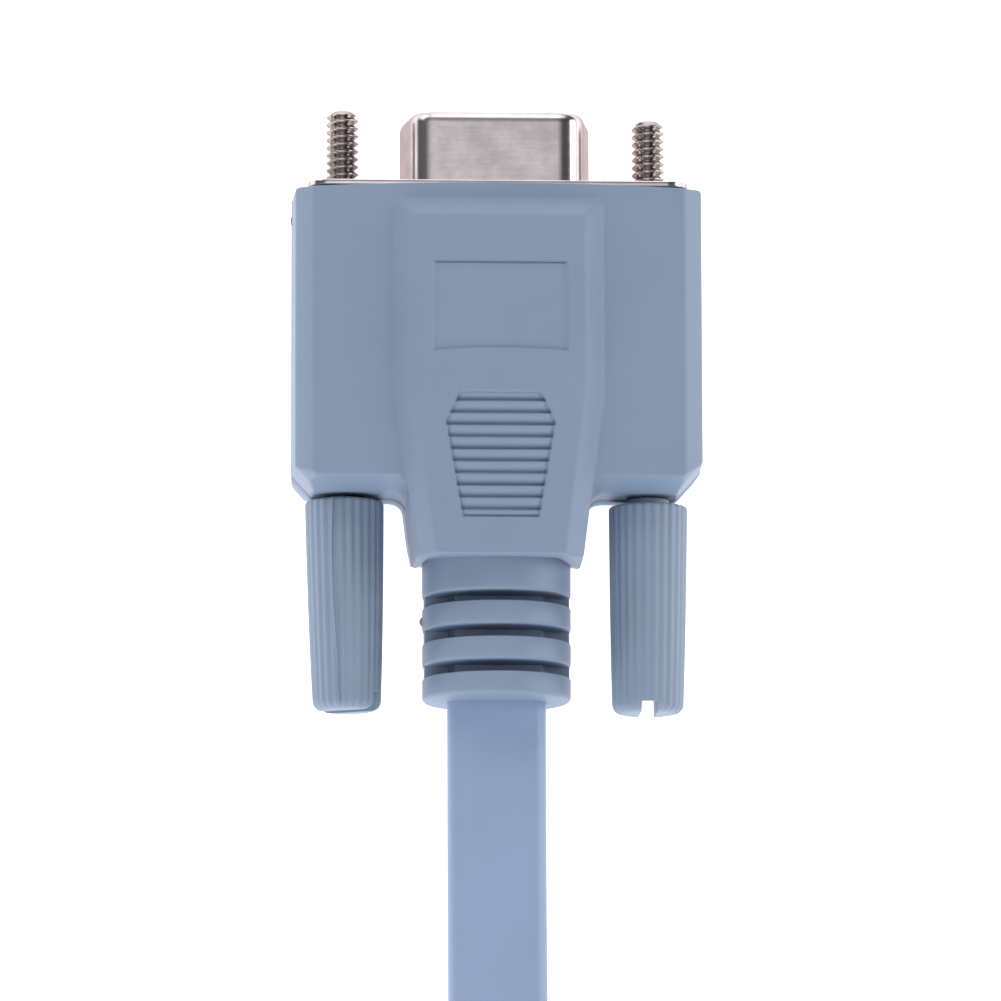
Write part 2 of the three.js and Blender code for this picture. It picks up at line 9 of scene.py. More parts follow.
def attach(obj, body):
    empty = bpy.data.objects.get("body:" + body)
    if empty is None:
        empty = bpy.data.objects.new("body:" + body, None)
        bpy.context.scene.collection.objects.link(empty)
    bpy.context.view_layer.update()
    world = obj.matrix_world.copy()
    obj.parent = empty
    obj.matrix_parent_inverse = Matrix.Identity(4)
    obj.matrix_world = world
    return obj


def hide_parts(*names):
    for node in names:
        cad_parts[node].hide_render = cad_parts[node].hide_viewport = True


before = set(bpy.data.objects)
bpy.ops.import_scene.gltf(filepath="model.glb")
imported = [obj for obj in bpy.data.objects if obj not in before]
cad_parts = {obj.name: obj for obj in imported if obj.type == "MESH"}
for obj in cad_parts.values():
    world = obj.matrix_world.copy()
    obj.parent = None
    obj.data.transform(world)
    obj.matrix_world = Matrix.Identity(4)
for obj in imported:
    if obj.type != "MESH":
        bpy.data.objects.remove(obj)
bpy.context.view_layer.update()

# The connector's own frame, in millimetres: y = 0 at the front face of its metal flange, z = 0 at
# the hood's parting plane. In the object's frame that point lies here, above the table.
FLANGE_AT = np.array([0.0, 18.125, 8.1])


# ---------------------------------------------------------------- camera, table and studio light
# A long lens looks down at the connector, leaning a little towards the cable and to the left. It
# lies on a white light table. Softboxes stand round it, with a darker stretch of room to the right.

LEAN_LEFT = math.radians(2.87)
LEAN_REAR = math.radians(8.75)
PICTURE_TURN = math.radians(0.13)
CAMERA_FAR = 0.644
SENSOR = 36.0
FOCAL_PER_PICTURE = 7929 / 1001
aim = (FLANGE_AT + np.array([0.36, -25.3, 0.0])) / 1000
towards_camera = Vector((-math.sin(LEAN_LEFT), -math.sin(LEAN_REAR), 0.9871)).normalized()
picture_up = Vector((math.sin(PICTURE_TURN), math.cos(PICTURE_TURN), 0.0))
picture_up = (picture_up - towards_camera * picture_up.dot(towards_camera)).normalized()
picture_right = picture_up.cross(towards_camera)
lens = bpy.data.cameras.new("camera")
lens.sensor_width = SENSOR
lens.lens = SENSOR * FOCAL_PER_PICTURE
lens.clip_start = 0.01
lens.clip_end = 20.0
camera = bpy.data.objects.new("camera", lens)
bpy.context.collection.objects.link(camera)
turn = Matrix((picture_right, picture_up, towards_camera)).transposed().to_4x4()
camera.matrix_world = Matrix.Translation(Vector(aim) + towards_camera * CAMERA_FAR) @ turn
bpy.context.scene.camera = camera
bpy.context.scene.view_settings.view_transform = "Standard"


def white_table():
    """A flat square of 3 m at z = 0, from its four corners."""
    mesh = bpy.data.meshes.new("table")
    half = 1.5
    corners = [(-half, -half, 0), (half, -half, 0), (half, half, 0), (-half, half, 0)]
    mesh.from_pydata(corners, [], [(0, 1, 2, 3)])
    table = bpy.data.objects.new("table", mesh)
    bpy.context.collection.objects.link(table)
    paint = bpy.data.materials.new("white_table")
    paint.use_nodes = True
    shader = paint.node_tree.nodes["Principled BSDF"]
    shader.inputs["Base Color"].default_value = (0.93, 0.93, 0.93, 1)
    shader.inputs["Roughness"].default_value = 0.7
    shader.inputs["Specular IOR Level"].default_value = 0.2
    shader.inputs["Emission Color"].default_value = (1.0, 0.96, 0.97, 1)
    shader.inputs["Emission Strength"].default_value = 0.8
    mesh.materials.append(paint)
    return table


white_table()


def softbox(name, place, size, watts):
    """A square area light of the given side in metres, facing the connector."""
    light = bpy.data.lights.new(name, "AREA")
    light.shape = "SQUARE"
    light.size = size
    light.energy = watts
    lamp = bpy.data.objects.new(name, light)
    lamp.location = place
    lamp.rotation_euler = (Vector((0, 0, 0)) - Vector(place)).to_track_quat("-Z", "Y").to_euler()
    bpy.context.collection.objects.link(lamp)


softbox("left_light", (-1.0, 1.0, 0.55), 0.9, 5.0)
softbox("right_light", (1.25, 0.25, 0.55), 0.7, 6.5)
softbox("front_light", (0.2, 1.4, 0.9), 1.0, 4.0)
softbox("rear_light", (0.3, -1.3, 0.7), 1.0, 6.0)
softbox("rear_left_light", (-1.1, -0.9, 0.5), 0.9, 6.0)


def studio_room(from_left_to_right, from_rear_to_front):
    """The room round the table: brightness is a ramp over the direction's x times one over y."""
    world = bpy.data.worlds.new("studio")
    world.use_nodes = True
    tree = world.node_tree
    way = tree.nodes.new("ShaderNodeTexCoord")
    parts = tree.nodes.new("ShaderNodeSeparateXYZ")
    tree.links.new(way.outputs["Generated"], parts.inputs["Vector"])
    room = tree.nodes["Background"]
    for axis, stops, socket in (
        ("X", from_left_to_right, room.inputs["Color"]),
        ("Y", from_rear_to_front, room.inputs["Strength"]),
    ):
        share = tree.nodes.new("ShaderNodeMapRange")
        share.inputs["From Min"].default_value = -1.0
        tree.links.new(parts.outputs[axis], share.inputs["Value"])
        ramp = tree.nodes.new("ShaderNodeValToRGB")
        while len(ramp.color_ramp.elements) < len(stops):
            ramp.color_ramp.elements.new(0.5)
        for element, (place, grey) in zip(ramp.color_ramp.elements, stops):
            element.position = place / 2 + 0.5
            element.color = (grey, grey * 0.985, grey * 0.99, 1)
        tree.links.new(share.outputs["Result"], ramp.inputs["Fac"])
        tree.links.new(ramp.outputs["Color"], socket)
    bpy.context.scene.world = world


studio_room(
    [(-1.0, 0.15), (-0.62, 0.15), (-0.3, 1.3), (0.1, 1.3), (0.26, 0.1), (0.76, 0.1), (0.9, 0.8)],
    [(-1.0, 1.2), (-0.2, 1.0), (0.17, 1.0), (0.27, 0.25), (0.5, 0.25), (0.65, 1.0)],
)


# ---------------------------------------------------------------- flat cable
# Eight conductors side by side under one smooth extruded PVC jacket, 8 mm wide and 2.6 mm thick.
# It leaves the strain relief flat, crosses into a tied hank on its edge and ends in the plug.

CABLE_WIDE = 8.0
CABLE_THICK = 2.6
CABLE_EDGE = 1.15
HANK_FIRST_RADIUS = 10.0
HANK_PITCH = 2.95
HANK_TURNS = 5
HANK_NEAR = -77.9
HANK_STRAIGHT = 128.0
HANK_WAIST_FIRST = 1.9
HANK_REST = CABLE_WIDE / 2
TIE_LIFT = 1.1

# x, y, z of the centreline in mm and the jacket's twist about it in degrees, 0 lying flat
RUN_POINTS = [
    (0.0, -23.0, 8.1, 0),
    (0.0, -29.5, 8.12, 0),
    (0.0, -36.0, 8.25, 0),
    (0.0, -43.0, 8.7, 0),
    (0.0, -49.0, 9.25, 0),
    (0.0, -55.0, 9.65, 0),
    (0.0, -61.0, 9.75, 0),
    (0.0, -67.0, 9.75, 0),
    (0.0, -73.0, 9.65, 0),
    (-0.4, -79.5, 9.2, 8),
    (-1.6, -86.0, 8.2, 27),
    (-3.6, -92.5, 6.6, 50),
    (-5.7, -99.0, 5.1, 70),
    (-7.3, -105.5, 4.3, 84),
]
TAIL_POINTS = [
    (21.25, -96.0, 4.1, 90),
    (22.5, -91.0, 4.5, 90),
    (25.3, -86.0, 5.3, 90),
    (27.4, -82.0, 5.75, 90),
    (28.0, -79.0, 5.84, 90),
]


def waist(y, reach):
    """1 at the tie and 0 from that far away on, as a squared cosine."""
    middle = HANK_NEAR - HANK_STRAIGHT / 2
    return np.cos(np.pi / 2 * np.clip(np.abs(y - middle) / reach, 0, 1)) ** 2


def side_run(side, radius, from_y, to_y):
    """A straight side of a turn: it leans in to the waist and rises a little over the tie."""
    count = max(int(abs(to_y - from_y) / 6), 2)
    y = np.linspace(from_y, to_y, count, endpoint=False)
    x = side * (radius - (HANK_FIRST_RADIUS - HANK_WAIST_FIRST) * waist(y, 56.0))
    z = HANK_REST + TIE_LIFT * waist(y, 34.0)
    return np.column_stack([x, y, z, np.full(count, 90.0)])


def end_loop(centre_x, centre_y, radius, start, stop):
    """Half a circle of the given radius round a centre, between two angles in radians."""
    angle = np.linspace(start, stop, 10, endpoint=False)
    x = centre_x + radius * np.cos(angle)
    y = centre_y + radius * np.sin(angle)
    return np.column_stack([x, y, np.full(10, HANK_REST), np.full(10, 90.0)])


hank_far = HANK_NEAR - HANK_STRAIGHT
route = [np.array(RUN_POINTS)]
for turn_number in range(HANK_TURNS):
    radius = HANK_FIRST_RADIUS + HANK_PITCH * turn_number
    last = turn_number == HANK_TURNS - 1
    route.append(side_run(-1, radius, -112.0 if turn_number == 0 else HANK_NEAR, hank_far))
    route.append(end_loop(0.0, hank_far, radius, np.pi, 2 * np.pi))
    route.append(side_run(1, radius, hank_far, -101.0 if last else HANK_NEAR))
    if not last:
        route.append(end_loop(-HANK_PITCH / 2, HANK_NEAR, radius + HANK_PITCH / 2, 0.0, np.pi))
route.append(np.array(TAIL_POINTS))
route = np.vstack(route)


def smooth_through(points, step):
    """Points a given step apart on the centripetal Catmull-Rom curve through the rows of points."""
    gaps = np.linalg.norm(np.diff(points[:, :3], axis=0), axis=1)
    padded = np.vstack([2 * points[0] - points[1], points, 2 * points[-1] - points[-2]])
    steps = np.linalg.norm(np.diff(padded[:, :3], axis=0), axis=1)
    times = np.concatenate([[0], np.cumsum(steps**0.5)])
    counts = np.maximum((gaps / step).astype(int), 1)
    piece = np.repeat(np.arange(len(gaps)), counts)
    within = np.concatenate([np.arange(n) / n for n in counts])
    piece = np.append(piece, len(gaps) - 1)
    within = np.append(within, 1.0)
    t0, t1, t2, t3 = (times[piece + k][:, None] for k in range(4))
    p0, p1, p2, p3 = (padded[piece + k] for k in range(4))
    t = t1 + within[:, None] * (t2 - t1)
    a1 = (t1 - t) / (t1 - t0) * p0 + (t - t0) / (t1 - t0) * p1
    a2 = (t2 - t) / (t2 - t1) * p1 + (t - t1) / (t2 - t1) * p2
    a3 = (t3 - t) / (t3 - t2) * p2 + (t - t2) / (t3 - t2) * p3
    b1 = (t2 - t) / (t2 - t0) * a1 + (t - t0) / (t2 - t0) * a2
    b2 = (t3 - t) / (t3 - t1) * a2 + (t - t1) / (t3 - t1) * a3
    return (t2 - t) / (t2 - t1) * b1 + (t - t1) / (t2 - t1) * b2


def rounded_rectangle(half_x, half_y, radius, corner_points, side_points=2):
    """Outline of a rectangle with quarter-circle corners, anticlockwise, as rows of x, y."""
    angle = np.linspace(0, np.pi / 2, corner_points)
    rows = []
    for k, (sx, sy) in enumerate([(1, 1), (-1, 1), (-1, -1), (1, -1)]):
        centre = np.array([sx * (half_x - radius), sy * (half_y - radius)])
        a = angle + k * np.pi / 2
        rows.append(centre + radius * np.column_stack([np.cos(a), np.sin(a)]))
    outline = []
    for k in range(4):
        outline.append(rows[k])
        share = np.linspace(0, 1, side_points + 2)[1:-1, None]
        outline.append(rows[k][-1] * (1 - share) + rows[(k + 1) % 4][0] * share)
    return np.vstack(outline)


def grid_mesh(name, points, around=True, caps=True, smooth=True, along=False):
    """Quads over a grid of points in rows and columns, closed round; each end takes one face."""
    rows, columns = points.shape[:2]
    index = np.arange(rows * columns).reshape(rows, columns)
    if around:
        index = np.hstack([index, index[:, :1]])
    if along:
        index = np.vstack([index, index[:1]])
    quads = np.stack([index[:-1, :-1], index[:-1, 1:], index[1:, 1:], index[1:, :-1]], axis=-1)
    faces = quads.reshape(-1, 4).tolist()
    if caps and not along:
        faces.append(list(range(columns))[::-1])
        faces.append(list(range((rows - 1) * columns, rows * columns)))
    mesh = bpy.data.meshes.new(name)
    mesh.from_pydata(points.reshape(-1, 3).tolist(), [], faces)
    mesh.update()
    if smooth:
        mesh.shade_smooth()
    return mesh


def in_scene(name, mesh, material, body="connector", sharp=math.radians(40)):
    """Puts a mesh in the scene as a piece that rides on a body, with sharp edges past an angle."""
    piece = bpy.data.objects.new(name, mesh)
    bpy.context.collection.objects.link(piece)
    mesh.materials.append(material)
    outwards(mesh)
    mesh.set_sharp_from_angle(angle=sharp)
    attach(piece, body)
    return piece


def outwards(mesh):
    """Turns each closed part of the mesh the right way out."""
    shape = bmesh.new()
    shape.from_mesh(mesh)
    bmesh.ops.recalc_face_normals(shape, faces=shape.faces)
    shape.to_mesh(mesh)
    shape.free()


centreline = smooth_through(route, 1.6)
places = centreline[:, :3]
tangent = np.gradient(places, axis=0)
tangent /= np.linalg.norm(tangent, axis=1)[:, None]
flat_way = np.cross(tangent, [0.0, 0.0, 1.0])
flat_way /= np.linalg.norm(flat_way, axis=1)[:, None]
upright_way = np.cross(flat_way, tangent)
twist = np.radians(centreline[:, 3])[:, None]
wide_way = np.cos(twist) * flat_way + np.sin(twist) * upright_way
thick_way = np.cross(tangent, wide_way)
jacket = rounded_rectangle(CABLE_WIDE / 2, CABLE_THICK / 2, CABLE_EDGE, 6, 5)
cable_points = (
    places[:, None, :]
    + jacket[None, :, 0:1] * wide_way[:, None, :]
    + jacket[None, :, 1:2] * thick_way[:, None, :]
) / 1000


def moulded_plastic(name, colour, roughness, bump, grain):
    """Soft PVC: a faint cloudy tone, a fine grain in the bump and uneven gloss."""
    material = bpy.data.materials.new(name)
    material.use_nodes = True
    tree = material.node_tree
    shader = tree.nodes["Principled BSDF"]
    place = tree.nodes.new("ShaderNodeTexCoord")
    cloud = tree.nodes.new("ShaderNodeTexNoise")
    cloud.inputs["Scale"].default_value = 160.0
    cloud.inputs["Detail"].default_value = 4.0
    tree.links.new(place.outputs["Object"], cloud.inputs["Vector"])
    tone = tree.nodes.new("ShaderNodeValToRGB")
    tone.color_ramp.elements[0].position = 0.3
    tone.color_ramp.elements[0].color = [c * 0.975 for c in colour] + [1]
    tone.color_ramp.elements[1].position = 0.7
    tone.color_ramp.elements[1].color = [min(c * 1.025, 1) for c in colour] + [1]
    tree.links.new(cloud.outputs["Fac"], tone.inputs["Fac"])
    tree.links.new(tone.outputs["Color"], shader.inputs["Base Color"])
    fine = tree.nodes.new("ShaderNodeTexNoise")
    fine.inputs["Scale"].default_value = grain
    fine.inputs["Detail"].default_value = 3.0
    tree.links.new(place.outputs["Object"], fine.inputs["Vector"])
    relief = tree.nodes.new("ShaderNodeBump")
    relief.inputs["Strength"].default_value = bump
    relief.inputs["Distance"].default_value = 0.00005
    tree.links.new(fine.outputs["Fac"], relief.inputs["Height"])
    tree.links.new(relief.outputs["Normal"], shader.inputs["Normal"])
    gloss = tree.nodes.new("ShaderNodeMapRange")
    gloss.inputs["To Min"].default_value = roughness - 0.06
    gloss.inputs["To Max"].default_value = roughness + 0.06
    tree.links.new(cloud.outputs["Fac"], gloss.inputs["Value"])
    tree.links.new(gloss.outputs["Result"], shader.inputs["Roughness"])
    shader.inputs["Specular IOR Level"].default_value = 0.45
    return material


cable_pvc = moulded_plastic("cable_jacket", (0.279, 0.373, 0.558), 0.42, 0.15, 900.0)
cable_mesh = grid_mesh("flat_cable", cable_points)
cable = in_scene("flat_cable", cable_mesh, cable_pvc)
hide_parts("cable_run", "cable_hank", "cable_tail")


# ---------------------------------------------------------------- hood
# One soft PVC moulding over the metal shell: two wings for the thumbscrews and a raised centre that
# tapers to the neck. It parts along its middle plane and carries a bare panel and ribbed pads.

HOOD_HALF = 16.6
WING_TOP = 6.7
WING_REAR = -25.2
RAISED_TOP = 8.1
RAISED_FRONT = -1.65
RAISED_HALF = 8.4
TAPER_FROM = -17.5
NECK_REAR = -30.9
NECK_HALF = 6.7
BEVEL_WIDE = 1.55


def rounded_line(points, radii, count=5):
    """A polyline whose inner corners are rounded by arcs, each a quadratic curve of few points."""
    points = [np.array(p, float) for p in points]
    out = [points[0]]
    for before, here, after, radius in zip(points, points[1:], points[2:], radii):
        into = (before - here) / np.linalg.norm(before - here)
        away = (after - here) / np.linalg.norm(after - here)
        half = math.acos(float(np.clip(into @ away, -1, 1))) / 2
        reach = radius / math.tan(half)
        t = np.linspace(0, 1, count)[:, None]
        start, end = here + into * reach, here + away * reach
        out.extend((1 - t) ** 2 * start + 2 * t * (1 - t) * here + t**2 * end)
    out.append(points[-1])
    return np.array(out)


def closed_outline(corners, radii, spacing, arc_points=8):
    """Points round a polygon with round corners: a fixed count on each arc and each side."""
    corners = np.array(corners, float)
    before = np.roll(corners, 1, axis=0) - corners
    after = np.roll(corners, -1, axis=0) - corners
    before /= np.linalg.norm(before, axis=1)[:, None]
    after /= np.linalg.norm(after, axis=1)[:, None]
    half = np.arccos(np.clip(np.sum(before * after, axis=1), -1, 1)) / 2
    reach = (np.array(radii) / np.tan(half))[:, None]
    starts, ends = corners + before * reach, corners + after * reach
    t = np.linspace(0, 1, arc_points)[None, :, None]
    arcs = (
        (1 - t) ** 2 * starts[:, None]
        + 2 * t * (1 - t) * corners[:, None]
        + t**2 * ends[:, None]
    )
    rows = []
    for k, arc in enumerate(arcs):
        rows.append(arc)
        share = np.linspace(0, 1, spacing[k] + 2)[1:-1, None]
        rows.append(arc[-1] * (1 - share) + starts[(k + 1) % len(corners)] * share)
    return np.vstack(rows)


def inset_corners(corners, inset):
    """Corners of the polygon whose every side is moved inwards by its own inset."""
    corners = np.array(corners, float)
    along = np.roll(corners, -1, axis=0) - corners
    along /= np.linalg.norm(along, axis=1)[:, None]
    inward = np.column_stack([-along[:, 1], along[:, 0]])
    base = corners + inward * np.array(inset)[:, None]
    prior, lead = np.roll(base, 1, axis=0), np.roll(along, 1, axis=0)
    step = base - prior
    cross = lead[:, 0] * along[:, 1] - lead[:, 1] * along[:, 0]
    t = (step[:, 0] * along[:, 1] - step[:, 1] * along[:, 0]) / cross
    return prior + lead * t[:, None]


# Wings: the plan outline, anticlockwise, carried up a profile of draft, long bevel and flat.
wing_corners = [
    (-HOOD_HALF, -0.35),
    (-HOOD_HALF, WING_REAR + 1.75),
    (-HOOD_HALF + 1.6, WING_REAR),
    (-7.55, WING_REAR),
    (-7.1, WING_REAR - 2.2),
    (7.1, WING_REAR - 2.2),
    (7.55, WING_REAR),
    (HOOD_HALF - 2.0, WING_REAR),
    (HOOD_HALF, WING_REAR + 2.2),
    (HOOD_HALF, -0.35),
]
wing_radii = [0.35, 0.5, 0.5, 1.5, 0.2, 0.2, 1.5, 0.5, 0.5, 0.35]
wing_spacing = [40, 6, 20, 4, 10, 4, 20, 6, 40, 60]
side_line = rounded_line(
    [(0.0, 0.12), (0.13, 5.2), (1.6, WING_TOP), (2.3, WING_TOP)], [0.6, 0.6], 6
)
parting_line = [(0.13, 0.0), (0.07, 0.05), (0.0, 0.12), (0.08, 3.2), (0.09, 3.5)]
side_line = np.vstack([parting_line, side_line[1:]])


def edge_insets(inset, height):
    """How far each side of the wing outline has moved in, from the side inset and the height."""
    rear = np.interp(height, [0.12, 3.2, 3.5, 6.4, WING_TOP], [0, 0.08, 0.12, 0.86, 0.97])
    rear = max(rear, min(inset, 0.13)) + 0.5 * max(inset - 1.6, 0)
    steep = max(np.interp(height, [0.12, 5.2], [0, 0.1]), min(inset, 0.13))
    left_cut = max(steep, 0.738 * inset + 0.675 * rear - 0.93)
    right_cut = max(steep, 0.74 * inset + 0.673 * rear - 1.23)
    neck, front = 0.3 * inset, 0.14 * inset
    return [inset, left_cut, rear, neck, 0.0, neck, rear, right_cut, inset, front]


def front_bow(points):
    """Moves the front face forward in the middle by half a millimetre, as a parabola in x."""
    near = np.clip((points[..., 1] + 3.0) / 2.6, 0, 1)
    bow = 0.5 * (1 - (points[..., 0] / HOOD_HALF) ** 2) * near
    points[..., 1] += bow - 0.2 * near
    return points


def wing_half(sign, swell):
    """Rings of the wing outline from the parting plane to the flat, above or below it."""
    rings = []
    for inset, height in side_line:
        corners = inset_corners(wing_corners, np.array(edge_insets(inset, height)) - swell)
        ring = closed_outline(corners, wing_radii, wing_spacing)
        rings.append(np.column_stack([ring, np.full(len(ring), sign * height)]))
    return np.array(rings)


lower, upper = wing_half(-1, 0.05), wing_half(1, 0.0)
wings = front_bow(np.concatenate([lower[::-1], upper]))


# Raised centre and neck: a height over the plan, from the smaller of the distances to its edges.
def plan_half(y):
    """Half-width of the raised centre's foot: parallel, then tapering evenly to the neck."""
    share = np.clip((TAPER_FROM - y) / (TAPER_FROM - NECK_REAR), 0, 1.2)
    return RAISED_HALF + (NECK_HALF - RAISED_HALF) * share


def soft_min(a, b, width):
    """The smaller of two values, rounded where they are within a width of each other."""
    h = np.clip(0.5 + 0.5 * (b - a) / width, 0, 1)
    return b * (1 - h) + a * h - width * h * (1 - h)


def soft_max(a, b, width):
    """The larger of two values, rounded where they are within a width of each other."""
    return -soft_min(-a, -b, width)


PANEL_HALF = 5.4
PANEL_FRONT = -6.95
PANEL_REAR = -14.3
PANEL_DEPTH = 0.28
PAD_OUTLINE = [(-17.55, 3.26), (-20.07, 4.43), (-27.87, 3.09)]
RIB_PITCH = 0.984
FIRST_GROOVE = -18.51
RIB_DEPTH = 0.48


def step_down(distance, width):
    """0 outside an edge and 1 inside it, with a smooth wall of the given width."""
    t = np.clip(distance / width + 0.5, 0, 1)
    return t * t * (3 - 2 * t)


def panel_sink(x, y):
    """The panel's depth: full inside its rectangle, whose rear side bows forward a little."""
    rear = PANEL_REAR + 0.25 * (1 - (x / PANEL_HALF) ** 2)
    inside = np.minimum.reduce([PANEL_HALF - np.abs(x), PANEL_FRONT - y, y - rear])
    from_sides = np.minimum(PANEL_HALF - np.abs(x), PANEL_FRONT - y)
    edge_line = np.clip(1 - np.abs(from_sides - 0.1) / 0.1, 0, 1) * step_down(y - rear, 0.1)
    return (PANEL_DEPTH - 0.08) * step_down(inside, 0.1) + 0.12 * edge_line


def pad_sink(x, y):
    """The pad's depth: a sawtooth raised to 1.6, rib by rib, in a hexagon with a sunk outline."""
    ys = np.array([p[0] for p in PAD_OUTLINE])[::-1]
    halves = np.array([p[1] for p in PAD_OUTLINE])[::-1]
    half = np.interp(y, ys, halves)
    inside = np.minimum.reduce([(half - np.abs(x)) * 0.97, ys[-1] - y, y - ys[0]])
    phase = ((FIRST_GROOVE - y) / RIB_PITCH) % 1.0
    fall = np.minimum(phase / 0.82, (1 - phase) / 0.18) ** 1.6
    outline = np.clip(1 - np.abs(inside - 0.12) / 0.14, 0, 1)
    return (0.05 + RIB_DEPTH * fall + 0.1 * outline) * step_down(inside - 0.03, 0.12)


def centre_height(x, y, with_panel):
    """Height of the raised centre: the bevel's slope up to the flat, less what is sunk in it."""
    side = plan_half(y) - np.abs(x)
    front = RAISED_FRONT - y
    reach = soft_min(side, front, 0.5) / BEVEL_WIDE
    ramp = soft_min(soft_max(reach, np.zeros_like(reach), 0.22), np.ones_like(reach), 0.16)
    height = WING_TOP - 0.03 + (RAISED_TOP - WING_TOP + 0.03) * ramp / ramp.max()
    sink = pad_sink(x, y)
    if with_panel:
        sink = sink + panel_sink(x, y)
    return height - sink


def spread(*stretches):
    """Values along stretches given as (from, to, step), with shared ends kept once."""
    values = []
    for start, stop, step in stretches:
        count = max(int(round(abs(stop - start) / step)), 1) + 1
        values.append(np.linspace(start, stop, count))
    return np.unique(np.round(np.concatenate(values), 5))


across = spread(
    (0, 3.0, 0.2),
    (3.0, 4.7, 0.1),
    (4.7, 5.2, 0.15),
    (5.2, 5.6, 0.04),
    (5.6, 6.5, 0.3),
    (6.5, 8.4, 0.12),
)
across = np.concatenate([-across[::-1], across[1:]]) / RAISED_HALF
down = spread(
    (-1.25, -3.6, 0.1),
    (-3.6, -6.7, 0.6),
    (-6.7, -7.2, 0.04),
    (-7.2, -13.8, 0.6),
    (-13.8, -14.5, 0.04),
    (-14.5, -17.4, 0.5),
    (-17.4, -28.1, 0.06),
    (-28.1, NECK_REAR + 0.3, 0.4),
    (NECK_REAR + 0.3, NECK_REAR, 0.06),
)[::-1]


def raised_centre():
    """Rows of a closed section: the flat with its bevels above and below, and a wall each side."""
    y = down[:, None]
    margin = 0.62 * step_down(y - (WING_REAR + 0.6), 1.0)
    edge = plan_half(y) + margin
    x = across[None, :] * edge
    spread_y = np.broadcast_to(y, x.shape)
    top = np.stack([x, spread_y, centre_height(x, spread_y, True)], axis=-1)
    bottom = np.stack([x, spread_y, -centre_height(x, spread_y, False)], axis=-1)
    levels = np.array([0.92, 0.75, 0.55, 0.35, 0.15, 0.05, 0.02, 0.008])
    wall = np.concatenate([levels, [0.0], -levels[::-1]])[None, :]
    notch = 0.13 * np.clip(1 - np.abs(wall) / 0.02, 0, 1)
    wall_x = edge + (0.14 * (1 - np.abs(wall)) - notch) * (1 - margin / 0.62)
    wall_z = wall * top[:, -1:, 2]
    wall_y = np.broadcast_to(y, wall_x.shape)
    right = np.stack([wall_x, wall_y, wall_z], axis=-1)
    left = np.stack([-wall_x, wall_y, -wall_z], axis=-1)
    rows = np.concatenate([top, right, bottom[:, ::-1], left], axis=1)
    rear_slope = 0.15 * np.clip((NECK_REAR + 2.5 - rows[..., 1]) / 2.5, 0, 1)
    rows[..., 1] += rear_slope * np.clip(-rows[..., 2], 0, None)
    past = np.clip((NECK_REAR + 0.25 - down[:, None]) / 0.25, 0, 1)
    shrink = 0.22 * (1 - np.sqrt(1 - past**2)) / 7.0
    rows[..., 0] *= 1 - shrink
    rows[..., 2] *= 1 - shrink
    return rows


def at_connector(points):
    """Moves points from the connector's own frame to the object's, in metres."""
    return (points + FLANGE_AT) / 1000


def joined(name, parts):
    """One mesh from several closed grids, side by side in it."""
    whole = bmesh.new()
    for part in parts:
        whole.from_mesh(part)
        bpy.data.meshes.remove(part)
    mesh = bpy.data.meshes.new(name)
    whole.to_mesh(mesh)
    whole.free()
    return mesh


# Strain relief: nearly round rings on a slimmer core, with a thin web at each side between them.
RELIEF_REAR = -41.85
RELIEF_WIDE = 6.02
RELIEF_HIGH = 6.2
RELIEF_ROUND = 2.15
CORE_WIDE = 3.7
CORE_HIGH = 2.3
WEB_HIGH = 0.9
RELIEF_GROOVES = (-33.85, -36.68, -39.53)
GROOVE_HALVES = (0.42, 0.5, 0.48)


def strain_relief():
    """Sections along y: half-height is a superellipse over x on the rings, a step in a groove."""
    stops = [(NECK_REAR + 0.6, 0.0, 0.0)]
    for middle, half in zip(RELIEF_GROOVES, GROOVE_HALVES):
        front, rear = middle + half, middle - half
        stops += [(front + 0.3, 0.0, 0.0), (front + 0.12, 0.0, 0.03), (front + 0.03, 0.0, 0.13)]
        stops += [(front, 0.0, 0.3), (front - 0.02, 1.0, 0.0), (rear + 0.02, 1.0, 0.0)]
        stops += [(rear, 0.0, 0.2), (rear - 0.03, 0.0, 0.08), (rear - 0.1, 0.0, 0.0)]
    for angle in np.radians(np.linspace(0, 84, 7)):
        stops.append((RELIEF_REAR + 0.4 * (1 - math.sin(angle)), 0.0, 0.4 * (1 - math.cos(angle))))
    along, sunk, inset = np.array(stops).T[:, :, None]
    t = np.linspace(0, np.pi, 61)[None, :]
    across = np.cos(t)
    arch = (1 - np.abs(across) ** RELIEF_ROUND + 1e-9) ** (1 / RELIEF_ROUND)
    x = (RELIEF_WIDE - inset - 0.12 * sunk) * across
    core = CORE_HIGH * step_down(CORE_WIDE - np.abs(x), 0.4) ** 0.5
    floor = np.minimum(np.maximum(core, WEB_HIGH), RELIEF_HIGH * arch)
    high = (RELIEF_HIGH - inset) * arch * (1 - sunk) + floor * sunk
    y = np.broadcast_to(along, x.shape)
    top = np.stack([x, y, high], axis=-1)
    bottom = np.stack([x, y, -high], axis=-1)[:, 1:-1][:, ::-1]
    return np.concatenate([top, bottom], axis=1)


# Two small specks of flash that stand out at the left, where the mould's halves met.
def flash_speck(x, y, wide, long, high):
    """A small ellipsoid: a half circle of radii carried round x."""
    turn_by = np.linspace(0.08, np.pi - 0.08, 7)[:, None]
    around_it = np.linspace(0, 2 * np.pi, 12, endpoint=False)[None, :]
    return np.stack(
        [
            x + wide * np.cos(turn_by) + 0 * around_it,
            y + long * np.sin(turn_by) * np.cos(around_it),
            high * np.sin(turn_by) * np.sin(around_it),
        ],
        axis=-1,
    )


